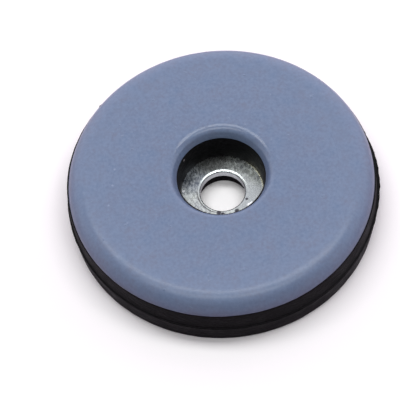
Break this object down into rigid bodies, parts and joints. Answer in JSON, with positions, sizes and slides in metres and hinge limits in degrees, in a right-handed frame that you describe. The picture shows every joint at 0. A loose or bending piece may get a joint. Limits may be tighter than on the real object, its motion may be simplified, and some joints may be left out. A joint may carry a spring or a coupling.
{
  "type": "furniture glide",
  "caption": "Round screw-on furniture glide: a PTFE cap over a rubber base, with a steel washer in a central recess for the screw.",
  "frame": {"origin": "centre of the underside", "axes": "+Z along the screw hole, from the underside to the sliding face"},
  "size_m": [0.0308, 0.0308, 0.0062],
  "materials": {
    "ptfe": "matte slate-blue PTFE",
    "rubber": "matte black, moulded",
    "zinc": "dull zinc plate"
  },
  "bodies": {
    "root": {"glide_cap": "ptfe", "base": "rubber", "washer": "zinc"}
  },
  "joints": []
}
